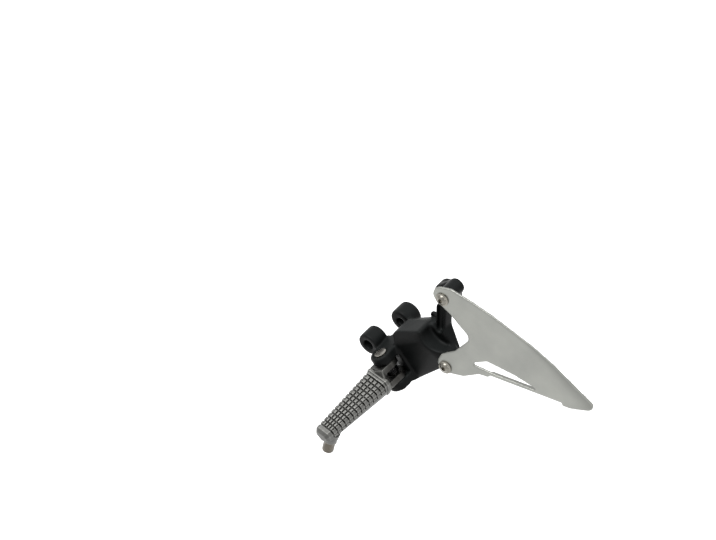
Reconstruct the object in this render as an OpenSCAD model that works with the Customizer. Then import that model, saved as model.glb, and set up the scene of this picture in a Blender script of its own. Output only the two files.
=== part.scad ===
// Left-hand rider footpeg assembly of a motorcycle: cast bracket, folding peg and heel guard.
// Millimetres. X points to the rear wheel, Y towards the motorcycle, Z up.
// The origin is the centre of the upper frame boss, on the face that meets the motorcycle's frame.

/* [Frame bosses] */
// Radius of the upper frame boss
upper_boss_r = 12; // [10:0.5:12]
// Length of the upper frame boss
upper_boss_len = 14; // [12:1:16]
// Radius of the lower frame boss
lower_boss_r = 12; // [10:0.2:12]
// Length of the lower frame boss
lower_boss_len = 17; // [15:1:19]
// How far the lower frame boss lies ahead of the upper one
boss_run = 46; // [44:1:48]
// How far the lower frame boss lies below the upper one
boss_drop = 64; // [62:1:66]
// Radius of the two frame bolt bores
frame_bore_r = 4.25; // [4.1:0.05:4.6]

/* [Shift lever pivot] */
// Radius of the boss that carries the shift lever
lever_boss_r = 11.2; // [10.6:0.2:11.6]
// Length of that boss
lever_boss_len = 17; // [15:1:18]
// Radius of the pivot bore
lever_bore_r = 5; // [4:0.5:5.5]

/* [Peg hinge] */
// Radius of the hinge pin
pin_r = 4; // [3.5:0.25:4.5]
// Running clearance between the pin and the peg's fork
pin_fit = 0.05; // [0.03:0.01:0.1]
// Half the width over the bracket's two ears
ear_half = 20; // [19:0.5:21]
// Thickness of each bracket ear
ear_t = 9; // [7:0.5:9]
// Outer radius of the ears
ear_r = 11; // [10:0.5:11.5]
// Side clearance between an ear and the fork
side_gap = 0.35; // [0.3:0.05:0.5]
// Angle of the hinge pin from the normal of the tread
pin_roll = 32; // [28:1:36]

/* [Footpeg] */
// Distance from the hinge pin to the end of the peg
peg_len = 94; // [90:1:98]
// Width of the tread where it leaves the collar
tread_w = 25; // [23:0.5:27]
// Width of the tread at its outer end
tip_w = 17; // [15:0.5:19]
// Height of the chequered part at the collar
tread_h = 15; // [14:0.5:16]
// Height of the chequered part at its outer end
tip_h = 12; // [11:0.5:13]
// How far the plain skirt reaches below it at the collar
skirt_h = 8; // [6:0.5:10]
// How far the skirt reaches below it at the outer end
tip_skirt_h = 2.5; // [1:0.5:4]
// Spacing of the chequer squares along the peg
row_pitch = 5; // [4.8:0.1:5.2]
// Depth of the grooves between the squares
groove_d = 1.1; // [0.8:0.1:1.3]

/* [Bank feeler] */
// Radius of the feeler
feeler_r = 5.5; // [5:0.25:6]
// Length of the feeler below the peg
feeler_len = 16; // [12:1:18]

/* [Heel guard] */
// Thickness of the guard plate
guard_t = 2.6; // [2.2:0.1:3]
// Radius of the guard bolts' thread
guard_bolt_r = 3; // [2.9:0.05:3]
// Radius of the bolt heads' flange
guard_head_r = 6.5; // [6:0.25:7]

/* [Hidden] */
$fn = 64;

// Places, all from the upper frame boss
lower_boss = [-boss_run, 0, -boss_drop];
lever_boss = [-58.1, -34, -75.4];
pin_centre = [-28.8, -54, -84.7];
guard_origin = [12.7, -34, 22.9];
guard_tilt = [80.5, 0, 4.9];
guard_lower = [12.8, -74, 0];
peg_yaw = -95.2;
peg_droop = 10.4;

// Hinge stack, measured along the pin from the middle of the hinge
fork_half = ear_half - ear_t - side_gap;
prong_t = 6;
prong_r = 10;
pin_head_r = 5.8;
pin_head_t = 1.8;
clip_t = 0.8;
washer_t = 1;

// Stations along the peg, from the hinge pin
root_x = 11.3;
collar_x = 15;
feeler_x = 85;
edge_c = 3;
feeler_lean = [-6, -18, 0];

/* Shared placements */
module at_peg() { translate(pin_centre) rotate([0, 0, peg_yaw]) rotate([0, peg_droop, 0]) children(); }
module at_clevis() { at_peg() rotate([pin_roll, 0, 0]) children(); }
module at_feeler() { at_peg() translate([feeler_x - 2, 1.8, -7]) rotate(feeler_lean) children(); }
module at_guard() { translate(guard_origin) rotate(guard_tilt) children(); }
// A shaft that runs outboard from a point
module outboard(p, h, r) { translate(p) rotate([90, 0, 0]) cylinder(h = h, r = r); }
// An outline in the X-Z plane, thickened from one outboard distance to another
module slab(near, far) { rotate([90, 0, 0]) translate([0, 0, near]) linear_extrude(far - near) children(); }

// The flat outline that joins two circles by their outer tangents
module link(a, ra, b, rb) {
    d = norm(b - a);
    dir = atan2(b[1] - a[1], b[0] - a[0]);
    lean = acos((ra - rb) / d);
    p1 = a + ra * [cos(dir + lean), sin(dir + lean)];
    p2 = b + rb * [cos(dir + lean), sin(dir + lean)];
    p3 = b + rb * [cos(dir - lean), sin(dir - lean)];
    p4 = a + ra * [cos(dir - lean), sin(dir - lean)];
    translate(a) circle(r = ra);
    translate(b) circle(r = rb);
    polygon([a, p1, p2, b, p3, p4]);
}

// Points of an arc
function arc(c, r, from, to, n = 6) =
    [for (i = [0:n]) c + r * [cos(from + (to - from) * i / n), sin(from + (to - from) * i / n)]];

/* Bracket casting */
guard_boss_xz = [11.5, 20];
// Three stations down the upper arm, on its inboard side
arm_top = [1, -9, -8];
arm_low = [5, -14.5, -30];
arm_foot = [18, -20, -49];
arm_t = 11;
pocket_xz = [11.7, -24];
pocket_r = 18;
// A boss on the frame side, with a raised ring round its bore
module frame_boss(p, h, r) {
    translate(p) rotate([90, 0, 0]) rotate_extrude()
        polygon([[0, 0], [r - 2.4, 0], [r - 2.8, 0.8], [r - 0.6, 0.8], [r, 1.4], [r, h - 1], [r - 1, h], [0, h]]);
}
// A small eye for a cable tie, on the front edge of the arm
module cable_eye(at, near) {
    slab(near, near + 4.5) difference() {
        link(at, 3.6, at + [8, 2], 3.6);
        translate(at) circle(r = 1.7, $fn = 32);
    }
}
module bracket_arms() {
    slab(8, upper_boss_len - 1) link(guard_boss_xz, 7.4, [0, 0], upper_boss_r - 0.4);
    hull() {
        outboard(arm_top, arm_t, 5.5, $fn = 32);
        outboard(arm_low, arm_t, 5.5, $fn = 32);
    }
    hull() {
        outboard(arm_low, arm_t, 5.5, $fn = 32);
        outboard(arm_foot, arm_t, 7, $fn = 32);
    }
    cable_eye([-7.5, -26], 16);
}
module body_core() {
    // Main block, from the hinge to the foot of the arm
    hull() {
        at_clevis() translate([-21, -4, -ear_half - 4]) cylinder(h = 2 * ear_half + 3, r = 10, $fn = 32);
        outboard([20.7, -25, -48], 14, 7, $fn = 32);
        outboard([-5, -22, -38], 20, 9, $fn = 32);
        outboard([-27.3, -20, -54], 21, 9, $fn = 32);
        outboard([-6, -30, -79], 20, 9, $fn = 32);
    }
    // Ramp that carries the lower frame boss
    hull() {
        outboard(lower_boss + [5, -13, -4], 5, 7.5, $fn = 32);
        outboard([-3, -17, -35.5], 8, 8, $fn = 32);
        outboard([-29, -17, -60], 22, 9, $fn = 32);
    }
    // Saddle between the lever boss and the upper ear
    hull() {
        outboard([lever_boss[0], lever_boss[1] - 1, lever_boss[2]], 13, 8, $fn = 32);
        outboard([-40, -30, -66], 10, 3, $fn = 32);
        at_clevis() translate([-15, -2, 8]) cylinder(h = 11, r = 8, $fn = 32);
    }
}
module ears() {
    for (side = [0, 1]) {
        at_clevis() mirror([0, 0, side]) translate([0, 0, ear_half - ear_t])
            linear_extrude(ear_t) link([0, 0], ear_r, [-19, -2], 9.5);
    }
}
module guard_bosses() {
    at_guard() translate([0, 0, -guard_t - 22]) cylinder(h = 22, r = 7.8);
    at_guard() translate([guard_lower[0], guard_lower[1], -guard_t - 17]) cylinder(h = 17, r = 8);
}
module bracket() {
    color("#1b1c1e") difference() {
        union() {
            frame_boss([0, 0, 0], upper_boss_len, upper_boss_r);
            frame_boss(lower_boss, lower_boss_len + 1, lower_boss_r);
            outboard(lever_boss, lever_boss_len, lever_boss_r);
            difference() {
                union() {
                    bracket_arms();
                    body_core();
                }
                // Spot face for the head of the lower frame bolt
                outboard(lower_boss + [0, -lower_boss_len, 0], 60, lower_boss_r + 0.4);
            }
            ears();
            guard_bosses();
        }
        // Frame bolt bores and the lever pivot's bore
        outboard([0, 1, 0], 80, frame_bore_r);
        outboard(lower_boss + [0, 1, 0], 80, frame_bore_r);
        outboard(lever_boss + [0, 5, 0], lever_boss_len + 6, lever_bore_r);
        // Channels down both sides of the upper arm, and the round pocket at its foot
        hull() {
            outboard(arm_top - [0, arm_t - 3, 0], 20, 3.4, $fn = 32);
            outboard(arm_low - [0, arm_t - 3, 0], 20, 3.4, $fn = 32);
        }
        hull() {
            outboard(arm_top + [0.8, 17.5, -6], 20, 3.2, $fn = 32);
            outboard(arm_low + [0, 17.5, 0], 20, 3.2, $fn = 32);
        }
        slab(28, 70) translate(pocket_xz) circle(r = pocket_r);
        // Spot face for the head of the upper frame bolt
        outboard([0, -upper_boss_len, 0], 30, 8.6);
        // Lightening pocket in the back of the body
        slab(0, 31) link([-8, -42], 6, [-14, -60], 3.5);
        // Room for the fork to turn between the ears
        at_clevis() cylinder(h = 2 * (ear_half - ear_t), r = prong_r + 0.6, center = true);
        at_clevis() translate([0, -30, ear_t - ear_half]) cube([60, 90, 2 * (ear_half - ear_t)]);
        at_clevis() translate([-prong_r - 0.6, 0, ear_t - ear_half]) cube([60, 60, 2 * (ear_half - ear_t)]);
        at_clevis() translate([-13, ear_r + 0.2, -40]) {
            cube([60, 60, 80]);
            rotate([0, 0, 12]) cube([60, 60, 80]);
        }
        // Hinge pin bore and the seat of its head
        at_clevis() cylinder(h = 80, r = pin_r + pin_fit, center = true);
        at_clevis() translate([0, 0, ear_half - pin_head_t]) cylinder(h = 10, r = pin_head_r + 0.6);
        // Tapped holes for the guard bolts
        at_guard() translate([0, 0, -60]) cylinder(h = 60, r = guard_bolt_r);
        at_guard() translate([guard_lower[0], guard_lower[1], -60]) cylinder(h = 60, r = guard_bolt_r);
    }
}

/* Heel guard */
guard_edge = concat(
    arc([0, 2], 10.6, 190, 100), [[6.9, 15], [28, 12.2], [50, 8], [72, 2], [94, -4.6], [116, -14.2]],
    arc([157.5, -40.8], 4, 60, -75, 5), [[141, -51.6], [120, -54.8], [99, -57.3], [78, -59.4], [57, -62]],
    [[47, -64], [40, -69.2], [32, -75]], arc([13.5, -71], 9.6, -55, -190), [[6.5, -62], [11.4, -57.5]],
    [[19.2, -51.4]], arc([24.5, -31], 6.6, -30, 62, 5), [[10.4, -13.5], [-1.3, -7.9], [-8, -3.5]]);
module guard_window() {
    polygon(concat(arc([42, -54.6], 1.6, 250, 130, 4), arc([54, -48.2], 3, 125, 85, 4),
                   [[82, -45.4]], arc([103, -49.4], 1.2, 80, -100, 5), [[88, -52.1], [66, -54.8]]));
}
// The sheet before it is cut out: flat, with its upper rear part rolled inboard
roll_from = [66, 6];
roll_dir = -32;
roll_r = 32;
module sheet_profile() {
    translate([-150, -guard_t]) square([150, guard_t]);
    translate([0, -roll_r]) intersection() {
        difference() {
            circle(r = roll_r);
            circle(r = roll_r - guard_t);
        }
        square([22, 60]);
    }
}
module guard_sheet() {
    translate(roll_from) rotate(roll_dir) rotate([90, 0, 90]) translate([0, 0, -150])
        linear_extrude(300) sheet_profile();
}
// The lower edge is turned inboard below the window
flange_from = [57, -61.7];
flange_len = 76;
flange_dir = 7.2;
flange_r = 5;
module along_lower_edge() {
    translate(flange_from) rotate(flange_dir) rotate([90, 0, 90]) linear_extrude(flange_len) children();
}
module lower_flange() {
    along_lower_edge() {
        translate([flange_r, -flange_r]) intersection() {
            difference() {
                circle(r = flange_r);
                circle(r = flange_r - guard_t);
            }
            translate([-flange_r, 0]) square(flange_r);
        }
        translate([0, -flange_r - 3]) square([guard_t, 3.01]);
    }
}
// What the bend takes off the flat sheet's corner
module flange_corner() {
    along_lower_edge() difference() {
        translate([-4, -flange_r]) square([flange_r + 4, flange_r + 1]);
        translate([flange_r, -flange_r]) circle(r = flange_r);
    }
}
module heel_guard() {
    color("#aeb0aa") at_guard() difference() {
        intersection() {
            union() {
                difference() {
                    guard_sheet();
                    flange_corner();
                }
                lower_flange();
            }
            translate([0, 0, -20]) linear_extrude(25) difference() {
                polygon(guard_edge);
                guard_window();
            }
        }
        translate([0, 0, -10]) cylinder(h = 20, r = guard_bolt_r + 0.3);
        translate([guard_lower[0], guard_lower[1], -10]) cylinder(h = 20, r = guard_bolt_r + 0.3);
    }
}

// Button head bolt with a flange and a hexagonal socket
module guard_bolt(bolt_len) {
    difference() {
        union() {
            rotate_extrude() polygon(concat([[0, 0], [guard_head_r, 0], [guard_head_r, 1]],
                arc([0, -1.9], 5.8, 33, 90, 8)));
            translate([0, 0, -bolt_len + 1]) cylinder(h = bolt_len - 1, r = guard_bolt_r);
            translate([0, 0, -bolt_len]) cylinder(h = 1, r1 = guard_bolt_r - 0.7, r2 = guard_bolt_r);
        }
        translate([0, 0, 1.4]) cylinder(h = 5, r = 2.3, $fn = 6);
    }
}
module guard_bolt_upper() { color("#c9c9c6") at_guard() guard_bolt(22); }
module guard_bolt_lower() { color("#c9c9c6") at_guard() translate(guard_lower) guard_bolt(30); }

/* Footpeg */
// Half width and half height of the peg at a station along it
function half_w(x) = tread_w / 2 + (tip_w - tread_w) / 2 * (x - collar_x) / (peg_len - collar_x);
function half_h(x) = tread_h / 2 + (tip_h - tread_h) / 2 * (x - collar_x) / (peg_len - collar_x);
module prongs() {
    for (side = [0, 1]) {
        at_clevis() mirror([0, 0, side]) translate([0, 0, fork_half - prong_t]) linear_extrude(prong_t) {
            circle(r = prong_r);
            translate([0, 0.3 - prong_r]) square([root_x + 1.7, 2 * prong_r - 0.6]);
        }
    }
}
function skirt(x) = skirt_h + (tip_skirt_h - skirt_h) * (x - collar_x) / (peg_len - collar_x);
// Cross-section of the peg: chamfered along the top, and drawn in below by the skirt
module section(w, h, skirt, c) {
    polygon([[-w, c - h], [3 - w, -h - skirt + 2], [5 - w, -h - skirt], [w - 5, -h - skirt],
             [w - 3, -h - skirt + 2], [w, c - h], [w, h - c], [w - c, h], [c - w, h], [-w, h - c]]);
}
// A thin slice of the peg at a station along it
module slice(x, w, h, skirt, c) {
    at_peg() translate([x, 0, 0]) rotate([90, 0, 90]) linear_extrude(0.4) section(w, h, skirt, c);
}
module tread_solid() {
    hull() {
        slice(collar_x, half_w(collar_x), half_h(collar_x), skirt_h, edge_c);
        slice(peg_len - 4, half_w(peg_len - 4), half_h(peg_len - 4), tip_skirt_h, edge_c);
        slice(peg_len - 0.4, half_w(peg_len) - 2.6, half_h(peg_len) - 2.2, tip_skirt_h, edge_c - 0.6);
    }
}
module fork_root() {
    hull() {
        at_clevis() translate([root_x, 0.6 - prong_r, 0.4 - fork_half])
            cube([1.5, 2 * prong_r - 1.2, 2 * fork_half - 0.8]);
        slice(collar_x + 1, half_w(collar_x) - 1, half_h(collar_x) - 1, skirt_h, edge_c);
    }
    // Plain collar between the fork and the tread
    at_peg() translate([collar_x - 1, 0, 0]) rotate([90, 0, 90]) linear_extrude(3.4)
        section(half_w(collar_x) + 0.7, half_h(collar_x) + 0.7, skirt_h, edge_c);
}
// Cross grooves go over the top and down both sides; long grooves follow the taper of the top
groove_w = 1.3;
first_groove = collar_x + 5;
rows = floor((peg_len - first_groove - 7) / row_pitch);
columns = 4;
taper = atan((half_w(collar_x) - half_w(peg_len)) / (peg_len - collar_x));
slope = atan((half_h(collar_x) - half_h(peg_len)) / (peg_len - collar_x));
module cross_groove(x) {
    w = half_w(x) - groove_d;
    h = half_h(x) - groove_d;
    at_peg() translate([x, 0, 0]) rotate([90, 0, 90]) linear_extrude(groove_w) difference() {
        translate([-20, -2.5]) square([40, 20]);
        section(w, h, 0, edge_c);
    }
}
module long_groove(side) {
    top = half_w(first_groove) - edge_c;
    at_peg() translate([first_groove, side * top, half_h(first_groove)]) rotate([0, slope, -side * taper])
        translate([0.5, -groove_w / 2, -groove_d]) cube([rows * row_pitch + 0.3, groove_w, 10]);
}
module side_groove(side, z) {
    at_peg() translate([first_groove, side * half_w(first_groove), z]) rotate([0, slope / 2, -side * taper])
        translate([0.5, -groove_d, -groove_w / 2]) cube([rows * row_pitch + 0.3, 2 * groove_d, groove_w]);
}
module chequer_grooves() {
    for (i = [0:rows]) cross_groove(first_groove + i * row_pitch);
    for (k = [0:columns]) long_groove(2 * k / columns - 1);
    for (side = [-1, 1]) side_groove(side, 1);
}
module peg_body() {
    color("#8f908d") difference() {
        union() {
            prongs();
            fork_root();
            difference() {
                tread_solid();
                chequer_grooves();
            }
            // Conical boss that takes the feeler
            at_feeler() translate([0, 0, -8]) cylinder(h = 11, r1 = 6.4, r2 = 8);
        }
        at_clevis() cylinder(h = 60, r = pin_r + pin_fit, center = true);
        at_feeler() translate([0, 0, -30]) cylinder(h = 31, r = 3);
    }
}

/* Hinge hardware */
module pivot_pin() {
    color("#d8d8d6") at_clevis() {
        difference() {
            translate([0, 0, -ear_half - 3.5]) cylinder(h = 2 * ear_half + 3.5 - pin_head_t, r = pin_r);
            translate([0, 0, -ear_half - washer_t - clip_t]) rotate_extrude()
                translate([pin_r - 0.7, 0]) square([2, clip_t]);
        }
        translate([0, 0, ear_half - pin_head_t]) cylinder(h = pin_head_t + 0.3, r = pin_head_r);
    }
}
module pin_washer() {
    color("#b9bab7") at_clevis() translate([0, 0, -ear_half - washer_t]) difference() {
        cylinder(h = washer_t, r = 7);
        translate([0, 0, -1]) cylinder(h = 3, r = pin_r + 0.1);
    }
}
module pin_clip() {
    color("#4b4c4e") at_clevis() translate([0, 0, -ear_half - washer_t - clip_t]) difference() {
        cylinder(h = clip_t, r = 6.4);
        translate([0, 0, -1]) cylinder(h = 3, r = pin_r - 0.7);
        translate([0, -2.2, -1]) cube([12, 4.4, 4]);
    }
}

// Torsion spring: a close coil round the pin with one leg on the bracket and one on the peg
spring_r = 5.9;
wire_r = 0.8;
turns = 4;
coil_rise = 1.75;
ring_steps = 18;
function coil_point(i) = [spring_r * cos(360 * i / ring_steps), spring_r * sin(360 * i / ring_steps),
                          coil_rise * i / ring_steps - turns * coil_rise / 2];
function wire_frame(a, b) = let(t = (b - a) / norm(b - a), s = cross(t, [0, 0, 1]))
    [s / norm(s), cross(s / norm(s), t)];
module wire(path, r, sides = 8) {
    n = len(path);
    points = [for (i = [0:n - 1]) let(f = wire_frame(path[max(i - 1, 0)], path[min(i + 1, n - 1)]))
        for (k = [0:sides - 1]) path[i] + r * cos(360 * k / sides) * f[0] + r * sin(360 * k / sides) * f[1]];
    sides_faces = [for (i = [0:n - 2], k = [0:sides - 1])
        [i * sides + k, i * sides + (k + 1) % sides, (i + 1) * sides + (k + 1) % sides, (i + 1) * sides + k]];
    first = [[for (k = [sides - 1:-1:0]) k]];
    last = [[for (k = [0:sides - 1]) (n - 1) * sides + k]];
    polyhedron(points, concat(sides_faces, first, last));
}
module return_spring() {
    coil = [for (i = [0:turns * ring_steps]) coil_point(i)];
    last = turns * ring_steps;
    color("#2a2b2d") at_clevis()
        wire(concat([coil_point(0) + [0, -9, 0]], coil, [coil_point(last) + [0, 9, 0]]), wire_r);
}

/* Bank feeler */
module bank_feeler() {
    color("#8a7d6c") at_feeler() translate([0, 0, -8]) {
        cylinder(h = 8, r = 2.95);
        translate([0, 0, -3]) cylinder(h = 3, r = 6.4, $fn = 6);
        translate([0, 0, -feeler_len + 3]) cylinder(h = feeler_len - 6, r = feeler_r);
        translate([0, 0, -feeler_len]) cylinder(h = 3, r1 = 2.6, r2 = feeler_r);
    }
}

bracket();
heel_guard();
guard_bolt_upper();
guard_bolt_lower();
peg_body();
pivot_pin();
pin_washer();
pin_clip();
return_spring();
bank_feeler();
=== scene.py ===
"""Finish, small detail, light and camera for a left-hand motorcycle footpeg assembly.

The part's own frame has X to the rear wheel, Y towards the motorcycle and Z up. Places on the part
and new shapes are in millimetres. Blender works in metres, and to_mesh turns shapes into them.
"""

import math

import bmesh
import bpy
from mathutils import Matrix, Vector

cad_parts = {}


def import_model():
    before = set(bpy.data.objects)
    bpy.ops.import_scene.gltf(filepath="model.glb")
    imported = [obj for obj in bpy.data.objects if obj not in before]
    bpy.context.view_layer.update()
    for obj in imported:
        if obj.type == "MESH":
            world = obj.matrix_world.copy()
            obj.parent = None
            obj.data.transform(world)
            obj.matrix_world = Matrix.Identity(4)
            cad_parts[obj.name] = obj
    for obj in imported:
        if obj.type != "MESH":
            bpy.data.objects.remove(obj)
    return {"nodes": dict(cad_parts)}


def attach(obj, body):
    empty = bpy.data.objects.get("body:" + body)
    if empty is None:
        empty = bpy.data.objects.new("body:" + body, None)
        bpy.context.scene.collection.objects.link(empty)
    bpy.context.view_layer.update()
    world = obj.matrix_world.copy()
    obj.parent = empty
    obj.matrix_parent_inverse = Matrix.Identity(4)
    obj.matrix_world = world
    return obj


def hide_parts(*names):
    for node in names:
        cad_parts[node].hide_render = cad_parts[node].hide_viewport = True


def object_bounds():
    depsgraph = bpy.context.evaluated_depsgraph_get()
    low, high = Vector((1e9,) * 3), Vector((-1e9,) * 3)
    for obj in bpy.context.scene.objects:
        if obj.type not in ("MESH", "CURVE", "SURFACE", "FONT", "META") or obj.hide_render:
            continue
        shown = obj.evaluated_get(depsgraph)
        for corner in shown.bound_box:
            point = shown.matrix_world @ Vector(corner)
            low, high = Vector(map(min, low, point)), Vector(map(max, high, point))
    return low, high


MM = 0.001

# Camera, as the photograph sees the part: in metres and degrees, and the lens in millimetres
CAMERA_AZIMUTH = 38.48
CAMERA_ELEVATION = 47.95
CAMERA_DISTANCE = 3.0
CAMERA_AIM = (-0.0820, -0.0356, -0.0020)
CAMERA_LENS = 165.8

# Hinge pin: its middle, and how the peg and the pin are turned, in degrees
PIN_CENTRE = Vector((-28.8, -54.0, -84.7))
PEG_YAW, PEG_DROOP, PIN_ROLL = -95.2, 10.4, 32.0

# Upper guard bolt, the plane of the guard, and the lower bolt in that plane
GUARD_ORIGIN = Vector((12.7, -34.0, 22.9))
GUARD_TILT = (80.5, 0.0, 4.9)
GUARD_LOWER = Vector((12.8, -74.0, 0.0))
BOLT_RADIUS = 3.0
# The lower bolt's thread, measured from the guard's outer face
THREAD_START, THREAD_END = 18.0, 29.0

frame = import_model()
cad_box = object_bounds()
nodes = frame["nodes"]


def turned(x, y, z):
    """The rotation that turns about X, then Y, then Z, in degrees."""
    return (
        Matrix.Rotation(math.radians(z), 4, "Z")
        @ Matrix.Rotation(math.radians(y), 4, "Y")
        @ Matrix.Rotation(math.radians(x), 4, "X")
    )


HINGE = Matrix.Translation(PIN_CENTRE) @ turned(0, PEG_DROOP, PEG_YAW) @ turned(PIN_ROLL, 0, 0)
GUARD = Matrix.Translation(GUARD_ORIGIN) @ turned(*GUARD_TILT)
LOWER_BOLT = GUARD @ Matrix.Translation(GUARD_LOWER)


# Materials


def linear(hex_colour):
    """A six-digit sRGB hex colour as linear RGBA."""
    channels = [int(hex_colour[i : i + 2], 16) / 255 for i in (1, 3, 5)]
    rgb = [c / 12.92 if c <= 0.04045 else ((c + 0.055) / 1.055) ** 2.4 for c in channels]
    return (*rgb, 1.0)


def add_node(tree, kind, inputs=None, **settings):
    """Adds a node, sets its properties, and gives each named input a value or a link."""
    node = tree.nodes.new(kind)
    for name, value in settings.items():
        setattr(node, name, value)
    for name, value in (inputs or {}).items():
        if isinstance(value, bpy.types.NodeSocket):
            tree.links.new(value, node.inputs[name])
        else:
            node.inputs[name].default_value = value
    return node


def new_material(name):
    """An empty node material and its tree."""
    material = bpy.data.materials.new(name)
    material.use_nodes = True
    material.node_tree.nodes.clear()
    return material, material.node_tree


def finish_surface(tree, **inputs):
    """The surface shader, linked to the material's output."""
    named = {name.replace("_", " "): value for name, value in inputs.items()}
    shader = add_node(tree, "ShaderNodeBsdfPrincipled", named)
    add_node(tree, "ShaderNodeOutputMaterial", {"Surface": shader.outputs["BSDF"]})


def spread(tree, source, low, high):
    """Maps a 0 to 1 pattern onto the range from low to high."""
    node = add_node(tree, "ShaderNodeMapRange", {"Value": source, "To Min": low, "To Max": high})
    return node.outputs["Result"]


def rise(tree, source, low, high, curve="LINEAR"):
    """0 where the source is at low or before it, and 1 where it is at high or past it."""
    inputs = {"Value": source, "From Min": low, "From Max": high}
    return add_node(tree, "ShaderNodeMapRange", inputs, interpolation_type=curve).outputs["Result"]


def object_noise(tree, spacing, stretch=(1, 1, 1), turn=(0, 0, 0), detail=3.0):
    """Noise whose features are spacing metres apart, stretched along chosen directions."""
    place = add_node(tree, "ShaderNodeTexCoord")
    mapping = add_node(
        tree,
        "ShaderNodeMapping",
        {
            "Vector": place.outputs["Object"],
            "Rotation": [math.radians(a) for a in turn],
            "Scale": [1 / s for s in stretch],
        },
        vector_type="POINT",
    )
    noise = add_node(
        tree,
        "ShaderNodeTexNoise",
        {"Vector": mapping.outputs["Vector"], "Scale": 1 / spacing, "Detail": detail},
    )
    return noise.outputs["Fac"]


def colour_between(tree, factor, low, high):
    """A colour ramp from one hex colour to another, over the range that noise mostly stays in."""
    ramp = add_node(tree, "ShaderNodeValToRGB", {"Fac": factor})
    stops = ((0.3, low), (0.7, high))
    for element, (position, colour) in zip(ramp.color_ramp.elements, stops):
        element.position = position
        element.color = linear(colour)
    return ramp.outputs["Color"]


def blend(tree, factor, low, high):
    """Mixes two colours, each a value or a link."""
    # The node has a set of sockets for each type of data; these are its factor and its colours
    factor_in, low_in, high_in, colour_out = 0, 6, 7, 2
    inputs = {factor_in: factor, low_in: low, high_in: high}
    return add_node(tree, "ShaderNodeMix", inputs, data_type="RGBA").outputs[colour_out]


def bumps(tree, height, distance, below=None):
    """A bump of the given real height over a 0 to 1 pattern."""
    inputs = {"Height": height, "Distance": distance, "Strength": 1.0}
    if below is not None:
        inputs["Normal"] = below
    return add_node(tree, "ShaderNodeBump", inputs).outputs["Normal"]


def satin_black_paint():
    """Powder-coated aluminium casting: black and satin, with painted light: its upward faces are
    painted lighter, as if lit from above.
    """
    material, tree = new_material("satin_black_paint")
    cloud = object_noise(tree, 14 * MM)
    # Powder coat's orange peel is under half a millimetre; drawn at 0.9 mm so that it shows
    peel = object_noise(tree, 0.9 * MM, detail=2.0)
    place = add_node(tree, "ShaderNodeTexCoord")
    facing = add_node(tree, "ShaderNodeSeparateXYZ", {"Vector": place.outputs["Normal"]})
    # Painted light: faces that point up are painted lighter, blending towards #191b1b
    painted_top_light = rise(tree, facing.outputs["Z"], 0.2, 0.95, "SMOOTHSTEP")
    black = colour_between(tree, cloud, "#060707", "#0b0c0c")
    finish_surface(
        tree,
        Base_Color=blend(tree, painted_top_light, black, linear("#191b1b")),
        Roughness=spread(tree, cloud, 0.38, 0.5),
        Specular_IOR_Level=0.07,
        Normal=bumps(tree, peel, 0.03 * MM),
    )
    return material


def brushed_aluminium_sheet():
    """Bead-blasted, clear anodised aluminium sheet: pale, even and soft, with faint rolling lines."""
    material, tree = new_material("brushed_aluminium_sheet")
    cloud = object_noise(tree, 30 * MM)
    lines = object_noise(tree, 0.5 * MM, stretch=(24, 1, 1), turn=(0, 14, 0), detail=4.0)
    grit = object_noise(tree, 0.35 * MM, detail=2.0)
    rough = bumps(tree, grit, 0.006 * MM)
    finish_surface(
        tree,
        Base_Color=colour_between(tree, cloud, "#868783", "#90918c"),
        Metallic=1.0,
        Roughness=spread(tree, lines, 0.36, 0.46),
        Normal=bumps(tree, lines, 0.004 * MM, below=rough),
    )
    return material


def tumbled_cast_aluminium():
    """Tumbled aluminium casting: mid grey with a fine sandy skin. Painted shade darkens it near the
    hinge and in its grooves, and its raised edges are lighter with wear and a painted highlight.
    """
    material, tree = new_material("tumbled_cast_aluminium")
    cloud = object_noise(tree, 9 * MM)
    sand = object_noise(tree, 0.6 * MM)
    place = add_node(tree, "ShaderNodeTexCoord")
    ends = {0: place.outputs["Object"], 1: list(PIN_CENTRE * MM)}
    from_pin = add_node(tree, "ShaderNodeVectorMath", ends, operation="DISTANCE").outputs["Value"]
    # Painted shade: within 11 to 22 mm of the hinge pin the casting is painted darker, where the
    # bracket's ears shade it
    clear_of_hinge_shade = rise(tree, from_pin, 11 * MM, 22 * MM, "SMOOTHSTEP")
    # Depth in millimetres, which mark_hollows stores on the mesh
    hollow = add_node(tree, "ShaderNodeAttribute", attribute_name="hollow").outputs["Fac"]
    # Painted shade: the grooves are painted dark, as shade in the hollows
    painted_groove_shade = rise(tree, hollow, -0.01, 0.16)
    # Raised edges painted lighter: partly wear, partly a painted highlight
    edge_wear_and_highlight = rise(tree, hollow, -0.05, -0.3)
    skin = colour_between(tree, cloud, "#555553", "#656563")
    skin = blend(tree, edge_wear_and_highlight, skin, linear("#8a8a86"))
    skin = blend(tree, clear_of_hinge_shade, linear("#3a3937"), skin)
    finish_surface(
        tree,
        Base_Color=blend(tree, painted_groove_shade, skin, linear("#151514")),
        Metallic=1.0,
        Roughness=spread(tree, sand, 0.38, 0.54),
        Normal=bumps(tree, sand, 0.03 * MM),
    )
    return material


def plated_steel(name, low, high):
    """Zinc-plated steel: faintly warm, with turning marks too fine to see one by one."""
    material, tree = new_material(name)
    cloud = object_noise(tree, 3 * MM)
    finish_surface(
        tree,
        Base_Color=colour_between(tree, cloud, low, high),
        Metallic=1.0,
        Roughness=spread(tree, cloud, 0.18, 0.28),
        Normal=bumps(tree, object_noise(tree, 0.5 * MM), 0.005 * MM),
    )
    return material


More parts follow.
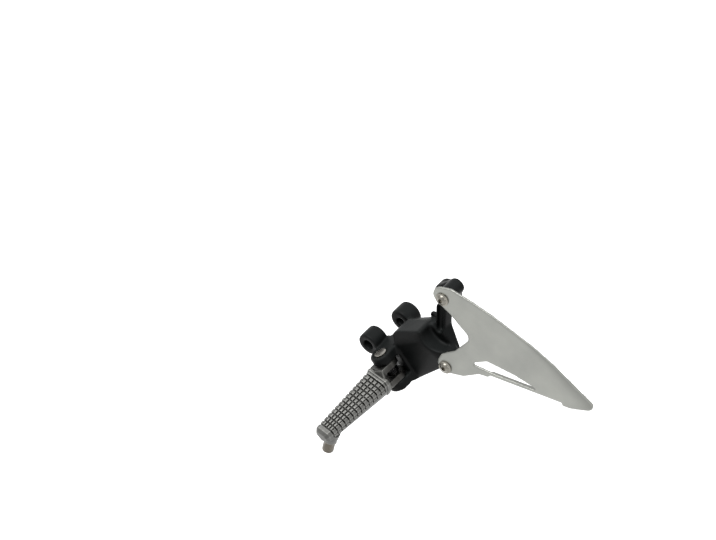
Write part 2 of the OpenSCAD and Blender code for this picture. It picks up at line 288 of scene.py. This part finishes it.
def black_oxide_steel():
    """Black-oxide spring steel: dark, with an oily sheen."""
    material, tree = new_material("black_oxide_steel")
    cloud = object_noise(tree, 2 * MM)
    finish_surface(
        tree,
        Base_Color=colour_between(tree, cloud, "#1f1f20", "#2c2b2b"),
        Metallic=1.0,
        Roughness=spread(tree, cloud, 0.3, 0.42),
    )
    return material


def dulled_zinc_steel():
    """Old zinc plating on the feeler: grey going brown, dull."""
    material, tree = new_material("dulled_zinc_steel")
    cloud = object_noise(tree, 2.5 * MM)
    finish_surface(
        tree,
        Base_Color=colour_between(tree, cloud, "#4e4a44", "#635e55"),
        Metallic=1.0,
        Roughness=spread(tree, cloud, 0.3, 0.45),
        Normal=bumps(tree, object_noise(tree, 0.4 * MM), 0.01 * MM),
    )
    return material


# Pieces


def new_object(name, data):
    """An object in the scene with the given mesh, lamp or camera."""
    obj = bpy.data.objects.new(name, data)
    bpy.context.collection.objects.link(obj)
    return obj


def new_piece(name, mesh, material, body):
    """A finished piece that rides on a body and takes its finish from a slot."""
    piece = new_object(name, mesh)
    piece.data.materials.append(material)
    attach(piece, body)
    return piece


def merged_copy(node_name):
    """The mesh of a CAD node in millimetres, with its loose triangles joined."""
    form = bmesh.new()
    form.from_mesh(nodes[node_name].data)
    bmesh.ops.scale(form, vec=(1 / MM,) * 3, verts=form.verts)
    bmesh.ops.remove_doubles(form, verts=form.verts, dist=0.002)
    return form


def to_mesh(form, name):
    """Turns a shape in millimetres into a smooth mesh in metres."""
    bmesh.ops.scale(form, vec=(MM,) * 3, verts=form.verts)
    for face in form.faces:
        face.smooth = True
    mesh = bpy.data.meshes.new(name)
    form.to_mesh(mesh)
    form.free()
    return mesh


def add_web(form, low, high, place):
    """A block between two corners, which the skin joins to the casting."""
    size = Matrix.Diagonal([b - a for a, b in zip(low, high)]).to_4x4()
    middle = Matrix.Translation([(a + b) / 2 for a, b in zip(low, high)])
    bmesh.ops.create_cube(form, size=1.0, matrix=place @ middle @ size)


def smooth_all(form, passes):
    """Rounds a whole shape, a little with each pass."""
    axes = {"use_axis_x": True, "use_axis_y": True, "use_axis_z": True}
    for _ in range(passes):
        bmesh.ops.smooth_vert(form, verts=form.verts, factor=0.5, **axes)


def mark_hollows(form):
    """Stores how deep each point lies in a groove, in millimetres, and less than 0 on a raised edge."""
    hollow = form.verts.layers.float.new("hollow")
    form.normal_update()
    kept = [(vert, vert.co.copy(), vert.normal.copy()) for vert in form.verts]
    smooth_all(form, passes=14)
    for vert, place, normal in kept:
        vert[hollow] = (vert.co - place).dot(normal)
        vert.co = place


def softened_casting(node_name, piece_name, material, body, voxel, passes, webs=()):
    """A CAD node with every edge and inner corner rounded, and with thin webs filled in.

    The skin is rebuilt from voxels of the given size in millimetres, then smoothed in passes.
    """
    mesh = bpy.data.meshes.new(piece_name)
    form = merged_copy(node_name)
    for web in webs:
        add_web(form, *web)
    form.to_mesh(mesh)
    form.free()
    rough = new_object(piece_name + "_rough", mesh)
    remesh = rough.modifiers.new("skin", "REMESH")
    remesh.mode = "VOXEL"
    remesh.voxel_size = voxel
    evaluated = rough.evaluated_get(bpy.context.evaluated_depsgraph_get())
    form = bmesh.new()
    form.from_mesh(evaluated.to_mesh())
    bpy.data.objects.remove(rough)
    bpy.data.meshes.remove(mesh)
    smooth_all(form, passes)
    mark_hollows(form)
    piece = new_piece(piece_name, to_mesh(form, piece_name), material, body)
    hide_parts(node_name)


def thread(place, start, end, name, material):
    """The screw thread on a bolt's free end: a V ridge swept along a helix."""
    pitch, height, sunk, steps_per_turn = 1.0, 0.16, 0.05, 24
    ridge_width = 0.9 * pitch
    turns = int((end - start) / pitch)
    foot, crest = BOLT_RADIUS - sunk, BOLT_RADIUS + height
    outline = [(foot, 0.0), (crest, ridge_width / 2), (foot, ridge_width)]
    form = bmesh.new()
    verts = [form.verts.new((r, 0, -z - start)) for r, z in outline]
    edges = [form.edges.new(pair) for pair in zip(verts, verts[1:] + verts[:1])]
    bmesh.ops.spin(
        form,
        geom=verts + edges,
        cent=(0, 0, 0),
        axis=(0, 0, 1),
        dvec=(0, 0, -pitch / steps_per_turn),
        angle=math.tau * turns,
        steps=steps_per_turn * turns,
        use_merge=False,
    )
    bmesh.ops.remove_doubles(form, verts=form.verts, dist=0.001)
    bmesh.ops.holes_fill(form, edges=form.edges, sides=4)
    bmesh.ops.recalc_face_normals(form, faces=form.faces)
    form.transform(place)
    new_piece(name, to_mesh(form, name), material, "mounting")


# Finishes on the nodes

paint = satin_black_paint()
sheet = brushed_aluminium_sheet()
casting = tumbled_cast_aluminium()
bolt_plating = plated_steel("bolt_plating", "#6e6c66", "#86837b")
# Painted light: the pin and washer get the bolts' zinc plating painted far brighter, standing in for
# light on the pin head
pin_plating_painted_bright = plated_steel("pin_plating_painted_bright", "#d0ccc4", "#dedad3")
oxide = black_oxide_steel()
zinc = dulled_zinc_steel()

NODE_FINISH = {
    "bracket": paint,
    "heel_guard": sheet,
    "guard_bolt_upper": bolt_plating,
    "guard_bolt_lower": bolt_plating,
    "peg_body": casting,
    "pivot_pin": pin_plating_painted_bright,
    "pin_washer": pin_plating_painted_bright,
    "pin_clip": oxide,
    "return_spring": oxide,
    "bank_feeler": zinc,
}
for node_name, finish in NODE_FINISH.items():
    for slot in nodes[node_name].material_slots:
        slot.material = finish

BRACKET_WEBS = [
    # Behind the fork, between the ears
    ((-20, -13, -11.5), (-11.2, 1, 11.5), HINGE),
    # Saddle between the lever boss and the body
    ((-3, -8, -5), (12, 5, 0), Matrix.Translation((-53, -30, -80)) @ turned(0, -27.5, 0)),
]
softened_casting(
    "bracket", "bracket_casting", paint, "mounting",
    voxel=0.75, passes=16, webs=BRACKET_WEBS,
)
softened_casting(
    "peg_body", "peg_casting_skin", casting, "peg",
    voxel=0.39, passes=1,
)
softened_casting(
    "heel_guard", "guard_sheet", sheet, "mounting",
    voxel=0.5, passes=16,
)
thread(LOWER_BOLT, THREAD_START, THREAD_END, "lower_bolt_thread", bolt_plating)


# Floor, world, lamps and camera


def view_direction(azimuth, elevation):
    """The direction from the part to a camera at that azimuth and elevation."""
    a, e = math.radians(azimuth), math.radians(elevation)
    return Vector((math.sin(a) * math.cos(e), -math.cos(a) * math.cos(e), math.sin(e)))


def look_at(target, direction, distance):
    """The matrix of a lamp or camera that looks at a point from a direction."""
    place = Vector(target) + direction * distance
    turn = direction.to_track_quat("Z", "Y").to_matrix().to_4x4()
    return Matrix.Translation(place) @ turn


def seen_directly(tree):
    """1 where the camera, a reflection or glass sees the surface, and 0 where it only gives light."""
    path = add_node(tree, "ShaderNodeLightPath").outputs
    seen = path["Is Camera Ray"]
    for ray in ("Is Glossy Ray", "Is Transmission Ray"):
        either = add_node(tree, "ShaderNodeMath", {0: seen, 1: path[ray]}, operation="MAXIMUM")
        seen = either.outputs[0]
    return seen


def floor():
    """A pale floor under the part: it catches the shadow, and is white where it is seen directly."""
    gap, half_side, glow = 120 * MM, 4.0, 0.6
    form = bmesh.new()
    bmesh.ops.create_grid(form, x_segments=1, y_segments=1, size=half_side)
    mesh = bpy.data.meshes.new("floor")
    form.to_mesh(mesh)
    form.free()
    mesh.transform(Matrix.Translation((0, 0, cad_box[0][2] - gap)))
    obj = new_object("floor", mesh)
    material, tree = new_material("pale_floor")
    finish_surface(
        tree,
        Base_Color=linear("#f4f4f4"),
        Roughness=0.9,
        Specular_IOR_Level=0.0,
        Emission_Color=linear("#ffffff"),
        Emission_Strength=spread(tree, seen_directly(tree), 0.0, glow),
    )
    obj.data.materials.append(material)


def world():
    """An even studio surround, white where the camera or a metal sees it."""
    surround = bpy.data.worlds.new("studio")
    surround.use_nodes = True
    tree = surround.node_tree
    tree.nodes.clear()
    lighting, seen = 0.45, 1.0
    strength = spread(tree, seen_directly(tree), lighting, seen)
    inputs = {"Color": linear("#ffffff"), "Strength": strength}
    backdrop = add_node(tree, "ShaderNodeBackground", inputs)
    add_node(tree, "ShaderNodeOutputWorld", {"Surface": backdrop.outputs["Background"]})
    bpy.context.scene.world = surround


def lamp(name, azimuth, elevation, distance, size, power):
    """A square soft box, in metres and watts, aimed at the middle of the part."""
    light = bpy.data.lights.new(name, "AREA")
    light.size = size
    light.energy = power
    middle = (Vector(cad_box[0]) + Vector(cad_box[1])) / 2
    direction = view_direction(azimuth, elevation)
    new_object(name, light).matrix_world = look_at(middle, direction, distance)


def camera():
    """The photograph's view: high, from the front and the outside, through a long lens."""
    data = bpy.data.cameras.new("camera")
    data.lens = CAMERA_LENS
    data.clip_end = 20
    obj = new_object("camera", data)
    direction = view_direction(CAMERA_AZIMUTH, CAMERA_ELEVATION)
    obj.matrix_world = look_at(CAMERA_AIM, direction, CAMERA_DISTANCE)
    bpy.context.scene.camera = obj


floor()
world()
lamp("key", azimuth=-60, elevation=65, distance=1.2, size=0.9, power=14)
lamp("back", azimuth=170, elevation=50, distance=1.2, size=0.8, power=2)
lamp("fill", azimuth=80, elevation=30, distance=1.5, size=1.0, power=4)
camera()
bpy.context.scene.view_settings.view_transform = "Standard"
